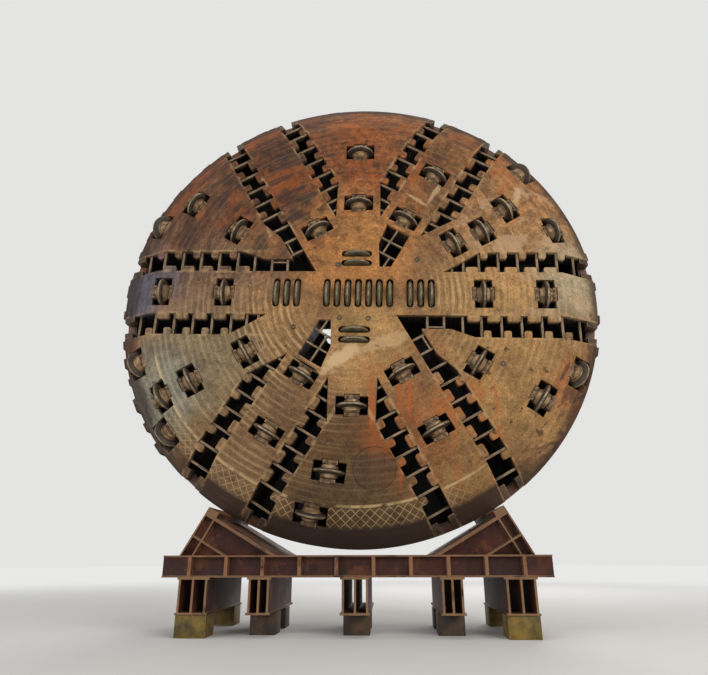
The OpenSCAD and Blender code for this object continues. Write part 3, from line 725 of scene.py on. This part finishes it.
def make_materials():
    """Every finish. A plain steel is its name, three tones, roughness, metallic and its pattern's scale."""
    return {
        "face": face_steel("face_steel", 0),
        "edge": face_steel("worn_edge", 0.32),
        "hull": hull_steel(),
        "hull_edge": plain_steel("hull_edge", (88, 60, 42), (146, 116, 86), (112, 66, 38), 0.55, 0.1, 6),
        "tool_edge": plain_steel("tool_edge", (86, 66, 48), (152, 126, 94), (62, 46, 34), 0.5, 0.2, 8),
        "bucket": plain_steel("bucket_steel", (46, 36, 30), (96, 74, 54), (36, 30, 27), 0.62, 0.1, 5),
        "bar": plain_steel("bar_steel", (92, 74, 56), (150, 126, 98), (62, 48, 38), 0.6, 0.1, 6, sunk=0.05),
        "bar_edge": plain_steel("bar_edge", (128, 106, 82), (182, 158, 126), (96, 70, 48), 0.5, 0.1, 8,
                                sunk=0.06),
        "saddle": plain_steel("saddle_steel", (84, 64, 44), (148, 118, 84), (54, 40, 31), 0.6, 0.1, 6,
                              sunk=0.09),
        "saddle_edge": plain_steel("saddle_edge", (126, 102, 74), (188, 162, 124), (80, 58, 40), 0.45, 0.2, 8,
                                   sunk=0.09),
        "hub": plain_steel("cutter_hub", (96, 74, 52), (176, 146, 108), (104, 66, 40), 0.42, 0.2, 9),
        "ring": plain_steel("cutter_ring", (34, 29, 25), (76, 63, 49), (66, 42, 28), 0.55, 0.1, 9),
        "tip": plain_steel("cutter_tip", (96, 82, 64), (160, 141, 112), (78, 58, 40), 0.4, 0.35, 12),
        "centre_ring": plain_steel("centre_ring", (66, 60, 46), (108, 100, 76), (78, 56, 38), 0.5, 0.2, 9),
        "centre_tip": plain_steel("centre_tip", (92, 84, 62), (140, 130, 102), (80, 60, 42), 0.4, 0.35, 12),
        "cradle": cradle_paint(),
        "cradle_edge": plain_steel("cradle_edge", (92, 66, 44), (150, 118, 84), (84, 44, 27), 0.6, 0.05, 6),
        "yellow": plain_steel("packing_yellow", (70, 58, 28), (134, 108, 46), (48, 38, 26), 0.62, 0.0, 4),
        "yellow_edge": plain_steel("packing_yellow_edge", (98, 84, 54), (144, 126, 84), (62, 48, 32),
                                   0.6, 0.1, 7),
        "dark": plain_steel("packing_dark", (42, 35, 29), (80, 66, 51), (96, 64, 40), 0.66, 0.0, 4),
        "machined": plain_steel("machined_face", (112, 102, 88), (160, 150, 132), (112, 74, 46), 0.4, 0.6, 3),
        "bolt": plain_steel("bolt_steel", (54, 45, 37), (106, 90, 70), (112, 70, 40), 0.5, 0.25, 14),
    }


MATERIALS = make_materials()


# Pieces


def add_piece(name, bm, materials, body):
    """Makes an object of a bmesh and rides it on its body."""
    bmesh.ops.recalc_face_normals(bm, faces=bm.faces)
    mesh = bpy.data.meshes.new(name)
    bm.to_mesh(mesh)
    bm.free()
    for key in materials:
        mesh.materials.append(MATERIALS[key])
    mesh.polygons.foreach_set("use_smooth", [True] * len(mesh.polygons))
    mesh.set_sharp_from_angle(angle=SHARP_FROM)
    piece = bpy.data.objects.new(name, mesh)
    bpy.context.scene.collection.objects.link(piece)
    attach(piece, body)
    return piece


def merged_copy(node):
    """A node's mesh with its doubles merged and its flat faces joined up."""
    bm = bmesh.new()
    bm.from_mesh(frame["nodes"][node].data)
    bmesh.ops.remove_doubles(bm, verts=bm.verts, dist=DOUBLES)
    bmesh.ops.dissolve_limit(
        bm, angle_limit=FLAT_UP_TO, use_dissolve_boundaries=False,
        verts=bm.verts, edges=bm.edges, delimit=set(),
    )
    return bm


def bevel_sharp(bm, width):
    """Rounds the sharp edges. The rounding takes the second material."""
    sharp = [e for e in bm.edges if len(e.link_faces) == 2 and e.calc_face_angle(0) > WORN_FROM]
    bmesh.ops.bevel(
        bm, geom=sharp, offset=width, offset_type="OFFSET", segments=2, profile=0.5,
        affect="EDGES", clamp_overlap=True, material=1, harden_normals=False,
    )


def worn_node(node, width, face, edge):
    """A node with its sharp edges worn round. It stands for the node."""
    bm = merged_copy(node)
    bevel_sharp(bm, width)
    piece = add_piece(node + "_worn", bm, [face, edge], ROOT)
    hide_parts(node)
    return piece


# Each fixed node, how far its edges are worn, the finish of its faces and of its edges, and its slot
WORN_NODES = [
    ("centre_block", 0.006, "face", "edge", "face_steel"),
    ("level_arms", 0.006, "face", "edge", "face_steel"),
    ("open_arms", 0.006, "face", "edge", "face_steel"),
    ("long_arms", 0.006, "face", "edge", "face_steel"),
    ("upright_panels", 0.006, "face", "edge", "face_steel"),
    ("joined_panels", 0.006, "face", "edge", "face_steel"),
    ("nosed_panels", 0.006, "face", "edge", "face_steel"),
    ("rim_hoop", 0.010, "hull", "hull_edge", "face_steel"),
    ("rear_plate", 0.008, "hull", "hull_edge", "face_steel"),
    ("rear_ribs", 0.005, "hull", "hull_edge", "face_steel"),
    ("drive_flange", 0.004, "machined", "machined", "face_steel"),
    ("cutter_saddles", 0.006, "saddle", "saddle_edge", "shaft_steel"),
    ("slot_scrapers", 0.004, "face", "edge", "tool_steel"),
    ("gauge_buckets", 0.010, "bucket", "tool_edge", "tool_steel"),
    ("grizzly_bars", 0.005, "bar", "bar_edge", "tool_steel"),
    ("grid_bars", 0.005, "bar", "bar_edge", "tool_steel"),
    ("cross_beams", 0.004, "cradle", "cradle_edge", "cradle_steel"),
    ("long_beams", 0.004, "cradle", "cradle_edge", "cradle_steel"),
    ("saddles", 0.004, "cradle", "cradle_edge", "cradle_steel"),
    ("outer_packing", 0.008, "yellow", "yellow_edge", "packing_yellow"),
    ("inner_packing", 0.008, "dark", "dark", "packing_dark"),
]


# Rings on each of the centre cutters
CENTRE_RINGS = {
    "centre_cutter_1": 3, "centre_cutter_2": 2, "centre_cutter_3": 3, "centre_cutter_4": 2,
    "centre_cutter_5": 3, "centre_cutter_6": 2, "centre_cutter_7": 2,
}

# Hubs. A centre hub ends this far short of the whole pitch of its rings
HUB_HALF = 0.104
HUB_R = 0.128
HUB_BORE = 0.0452
CENTRE_HUB_R = 0.078
CENTRE_END = 0.036

# A ring's flanks begin at the first radius, and its rubbed tip at the second
RING_FROM = 0.152
TIP_FROM = 0.236


def spin_profile(bm, outline, steps):
    """Turns a closed outline of (distance from the axis, height) about z."""
    corners = [bm.verts.new((radius, 0, height)) for radius, height in outline]
    edges = [bm.edges.new((a, b)) for a, b in zip(corners, corners[1:] + corners[:1])]
    bmesh.ops.spin(bm, geom=corners + edges, axis=(0, 0, 1), cent=(0, 0, 0), angle=2 * math.pi,
                   steps=steps, use_merge=True)


def ring_outline(centre, root):
    """A cutter ring, from its root up to its tip and down again: (radius, height)."""
    side = [(root, 0.046), (root + 0.020, 0.046), (root + 0.024, 0.040), (0.200, 0.037),
            (0.218, 0.031), (0.2335, 0.018), (0.2385, 0.0145), (0.2412, 0.010)]
    low = [(r, centre - h) for r, h in side]
    high = [(r, centre + h) for r, h in reversed(side)]
    return low + high


def cutter_outline(places, half, hub):
    """Outline of a hub with its rings, with a seal step at each end."""
    end = [(HUB_BORE, half), (hub - 0.034, half), (hub - 0.030, half - 0.006),
           (hub - 0.016, half - 0.006), (hub, half - 0.020)]
    points = [(r, -h) for r, h in end]
    for place in places:
        points += ring_outline(place, hub)
    return points + end[::-1]


def paint_by_radius(bm):
    """The ring's flanks take the second material and its tip the third."""
    for face in bm.faces:
        middle = face.calc_center_median()
        away = math.hypot(middle.x, middle.y)
        if away > TIP_FROM:
            face.material_index = 2
        elif away > RING_FROM:
            face.material_index = 1


def axis_matrix(joint):
    """Matrix that takes the z axis to a joint's axis, at its place."""
    turn = Vector((0, 0, 1)).rotation_difference(Vector(joint["axis"])).to_matrix().to_4x4()
    return Matrix.Translation(joint["pos_m"]) @ turn


def add_cutters():
    """Every cutter as a turned ring and hub, in place of its node and on its own body."""
    for joint in frame["joints"]:
        body = joint["child"]
        bm = bmesh.new()
        if body.startswith("disc_cutter"):
            outline = cutter_outline([0.0], HUB_HALF, HUB_R)
            materials = ["hub", "ring", "tip"]
        else:
            count = CENTRE_RINGS[body]
            places = [(i - (count - 1) / 2) * RING_PITCH for i in range(count)]
            outline = cutter_outline(places, count * RING_PITCH / 2 - CENTRE_END, CENTRE_HUB_R)
            materials = ["centre_ring", "centre_ring", "centre_tip"]
        spin_profile(bm, outline, 72)
        paint_by_radius(bm)
        bm.transform(axis_matrix(joint))
        piece = add_piece(body + "_turned", bm, materials, body)
        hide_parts(body)


def edges_above(verts, place, height):
    """The edges at these corners that lie wholly above a height over the plane of a matrix."""
    back = place.inverted()
    edges = {e for v in verts for e in v.link_edges}
    return [e for e in edges if all((back @ v.co).z > height for v in e.verts)]


def hex_bolt(bm, place, width, height):
    """A bolt head on the plane of a matrix, chamfered on top."""
    corner = width / 2 / math.cos(math.radians(30))
    chamfer = 0.14 * height
    head = bmesh.ops.create_cone(
        bm, cap_ends=True, cap_tris=False, segments=6, radius1=corner, radius2=corner, depth=height,
        matrix=place @ Matrix.Translation((0, 0, height / 2)),
    )
    top = edges_above(head["verts"], place, 0.9 * height)
    bmesh.ops.bevel(
        bm, geom=top, offset=chamfer, segments=1, profile=0.5, affect="EDGES", material=-1,
    )


# From the middle of a cutter's shaft to a bolt: along the shaft, to its side, and out to the block's front
BOLT_ALONG = 0.140
BOLT_ASIDE = 0.065
BOLT_OUT = 0.067

# Bolt heads, as width across the flats and height
SADDLE_BOLT = (0.041, 0.018)
RIM_BOLT = (0.036, 0.014)


def saddle_bolts():
    """Two bolts on each end block of every single cutter."""
    bm = bmesh.new()
    for joint in frame["joints"]:
        if not joint["child"].startswith("disc_cutter"):
            continue
        axis = Vector(joint["axis"])
        spot = Vector(joint["pos_m"])
        outwards = Vector((spot.x, 0, spot.z - AXIS_Z)).normalized()
        if axis.dot(outwards) < 0:
            axis = -axis
        across = Vector((0, -1, 0)).cross(axis).normalized()
        front = axis.cross(across)
        if front.y > 0:
            front = -front
        for end in (-1, 1):
            for side in (-1, 1):
                base = spot + axis * end * BOLT_ALONG + across * side * BOLT_ASIDE + front * BOLT_OUT
                turn = Matrix((axis, front.cross(axis), front)).transposed().to_4x4()
                hex_bolt(bm, Matrix.Translation(base) @ turn, *SADDLE_BOLT)
    add_piece("saddle_bolts", bm, ["bolt"], ROOT)


# Wear blocks round the rim's upper and left side: degrees round the head, width, rise
RIM_BLOCKS = [
    (98, 0.20, 0.046), (103, 0.12, 0.034), (119, 0.22, 0.044), (137, 0.18, 0.050), (142, 0.12, 0.034),
    (148, 0.24, 0.046), (155, 0.14, 0.052), (162, 0.20, 0.038), (178, 0.22, 0.048), (197, 0.16, 0.052),
    (202, 0.10, 0.034), (208, 0.22, 0.056), (214, 0.14, 0.044), (220, 0.18, 0.050),
]

# Width and rise of the blocks at the slots' mouths, and how far beyond a slot's edge they stand
MOUTH_BLOCK = (0.13, 0.040)
MOUTH_GAP = 0.09

# How long a block is, how far it is sunk into the rim, and how far behind the cone it begins
BLOCK_LONG = 0.30
BLOCK_SUNK = 0.004
BLOCK_BACK = 0.012

# How far its upper edges are worn round, and the places of its bolts as shares of its length
BLOCK_WORN = 0.010
BLOCK_BOLTS = (0.35, 0.72)

# The rim's lowest part, in degrees round the head, has no blocks
BARE_FROM = 225
BARE_TO = 315


def rim_blocks():
    """Bolted wear blocks at the mouths of the slots, and more of them on the rim's left side."""
    bm = bmesh.new()
    bolts = bmesh.new()
    rows = list(RIM_BLOCKS)
    for arm in range(0, 360, 60):
        for across in (ARM_HALF - MOUTH_GAP, SLOT_FAR + MOUTH_GAP):
            offset = math.degrees(math.asin(across / HEAD_R))
            rows += [(arm + side * offset, *MOUTH_BLOCK) for side in (-1, 1)]
    for degrees, wide, rise in rows:
        if not BARE_FROM < degrees % 360 < BARE_TO:
            rim_block(bm, bolts, math.radians(degrees) + HEAD_TURN, wide, rise)
    add_piece("rim_wear_blocks", bm, ["bucket"], ROOT)
    add_piece("rim_block_bolts", bolts, ["bolt"], ROOT)


def rim_block(bm, bolts, angle, wide, rise):
    """One block: its front end slopes back like the cone, and its upper edges are worn round."""
    deep = rise + BLOCK_SUNK
    front = FACE_Y + CONE_DROP + BLOCK_BACK
    outwards = Vector((math.cos(angle), 0, math.sin(angle)))
    axes = Matrix((Vector((0, 1, 0)), outwards.cross(Vector((0, 1, 0))), outwards)).transposed().to_4x4()
    base = Vector((0, front, AXIS_Z)) + outwards * (HEAD_R - BLOCK_SUNK)
    place = Matrix.Translation(base) @ axes
    made = bmesh.ops.create_cube(bm, size=1)["verts"]
    for vert in made:
        x, y, z = vert.co.x + 0.5, vert.co.y, vert.co.z + 0.5
        slope = 0.6 * deep if x < 0.5 and z > 0.5 else 0
        vert.co = place @ Vector((x * BLOCK_LONG + slope, y * wide, z * deep))
    upper = edges_above(made, place, deep * 0.5)
    bmesh.ops.bevel(
        bm, geom=upper, offset=BLOCK_WORN, segments=2, profile=0.5, affect="EDGES", material=-1,
    )
    for step in BLOCK_BOLTS:
        hex_bolt(bolts, place @ Matrix.Translation((BLOCK_LONG * step, 0, deep - 0.002)), *RIM_BOLT)


# Nozzles in the face: x and y from the axis
NOZZLES = [
    (-0.31, 0.52), (-0.25, -0.45), (0.22, -0.46), (1.02, 0.62), (-1.0, -0.62), (2.35, -1.2), (-2.5, 1.15),
]


def face_nozzles():
    """Foam nozzles: a flush ring with a dished cap and a hole."""
    bm = bmesh.new()
    outline = [(0.010, -0.004), (0.012, 0.002), (0.024, 0.008), (0.034, 0.008), (0.038, 0.002),
               (0.046, 0.002), (0.050, -0.002), (0.050, -0.006)]
    for x, y in NOZZLES:
        one = bmesh.new()
        spin_profile(one, outline, 32)
        mesh = bpy.data.meshes.new("nozzle")
        one.to_mesh(mesh)
        one.free()
        mesh.transform(ON_HEAD @ Matrix.Translation((x, y, 0)))
        bm.from_mesh(mesh)
        bpy.data.meshes.remove(mesh)
    add_piece("foam_nozzles", bm, ["bolt"], ROOT)


def add_surroundings():
    """A plain pale floor that fades into a pale background for camera, reflections and glass."""
    backdrop = tone(228, 228, 227)
    bm = bmesh.new()
    bmesh.ops.create_circle(bm, cap_ends=True, segments=96, radius=FLOOR_R)
    mesh = bpy.data.meshes.new("floor")
    bm.to_mesh(mesh)
    bm.free()
    floor = bpy.data.objects.new("floor", mesh)
    material, g, shader, point = new_material("floor")
    away = g.vector("LENGTH", point, result=1)
    faded = g.times(seen_rays(g), g.smooth(away, FADE_FROM, FADE_TO))
    tint = g.mix(g.noise(point, 0.6, 4), tone(228, 227, 224), tone(234, 233, 231))
    colour = g.mix(faded, tint, NO_LIGHT)
    finish_material(material, g, shader, colour, 0.85, g.bump(g.noise(point, 30, 3), 0.001, 0.3))
    g.put(shader.inputs["Emission Color"], g.mix(faded, NO_LIGHT, backdrop))
    shader.inputs["Emission Strength"].default_value = 1.0
    shader.inputs["Specular IOR Level"].default_value = 0.1
    mesh.materials.append(material)
    bpy.context.scene.collection.objects.link(floor)

    world = bpy.data.worlds.new("world")
    bpy.context.scene.world = world
    world.use_nodes = True
    graph = Graph(world.node_tree)
    background = world.node_tree.nodes["Background"]
    graph.put(background.inputs["Color"], backdrop)
    strength = graph.plus(AMBIENT, graph.times(seen_rays(graph), 1 - AMBIENT))
    graph.put(background.inputs["Strength"], strength)


def seen_rays(g):
    """1 for what the camera sees, also by reflection or through glass."""
    light = g.add("ShaderNodeLightPath")
    indirect = g.largest(light.outputs["Is Glossy Ray"], light.outputs["Is Transmission Ray"])
    return g.largest(light.outputs["Is Camera Ray"], indirect)


def main():
    place_camera()
    light_the_scene()
    for node, width, face, edge, slot in WORN_NODES:
        worn_node(node, width, face, edge)
    add_cutters()
    saddle_bolts()
    rim_blocks()
    face_nozzles()
    add_surroundings()


main()
bpy.context.scene.view_settings.view_transform = "Standard"
